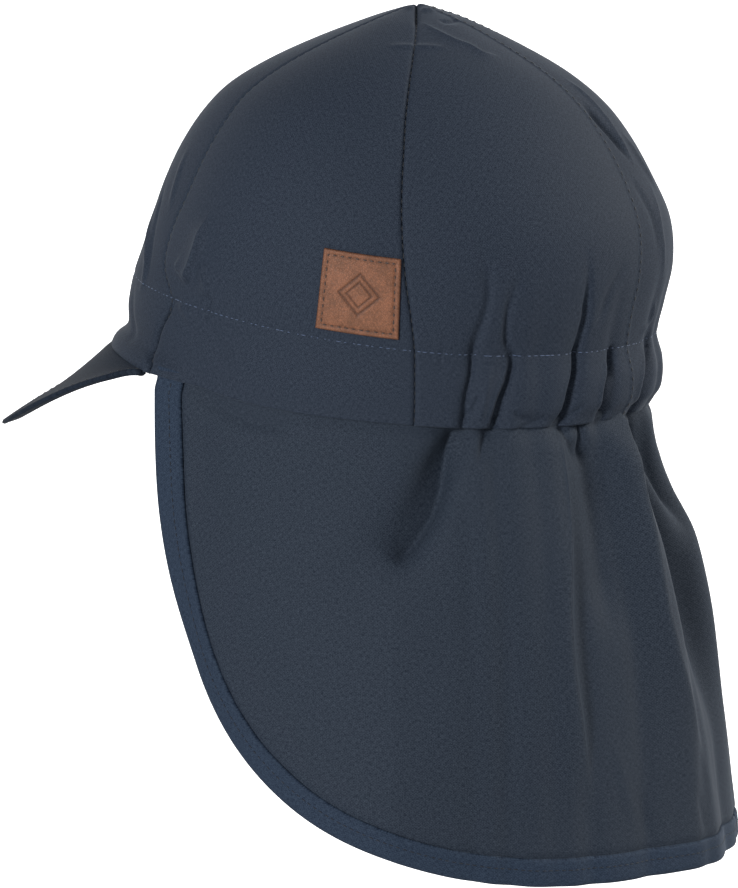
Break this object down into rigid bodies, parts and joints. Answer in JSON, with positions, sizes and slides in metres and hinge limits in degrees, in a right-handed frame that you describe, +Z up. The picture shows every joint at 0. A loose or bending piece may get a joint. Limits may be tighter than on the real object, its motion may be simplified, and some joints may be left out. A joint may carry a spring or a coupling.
{
  "type": "legionnaire cap",
  "caption": "Child's sun cap of six cloth panels with an elasticated band, a short drooping peak, a long hemmed neck flap and a small leather patch.",
  "frame": {"origin": "centre of the head ring at the height of the stitch line that tops the band", "axes": "+Z up through the crown, -Y towards the tip of the peak, +X towards the wearer's left"},
  "size_m": [0.1831, 0.2414, 0.2759],
  "materials": {
    "crown_cloth": "fine plain weave, navy grey",
    "peak_cloth": "fine plain weave, navy grey",
    "flap_cloth": "fine plain weave, navy grey",
    "hem_cloth": "folded strip, navy grey",
    "patch_leather": "matt tan leather"
  },
  "bodies": {
    "root": {"front_panel": "crown_cloth", "left_front_panel": "crown_cloth", "left_back_panel": "crown_cloth", "back_panel": "crown_cloth", "right_back_panel": "crown_cloth", "right_front_panel": "crown_cloth", "peak": "peak_cloth", "neck_flap": "flap_cloth", "flap_hem": "hem_cloth", "leather_patch": "patch_leather"}
  },
  "joints": []
}
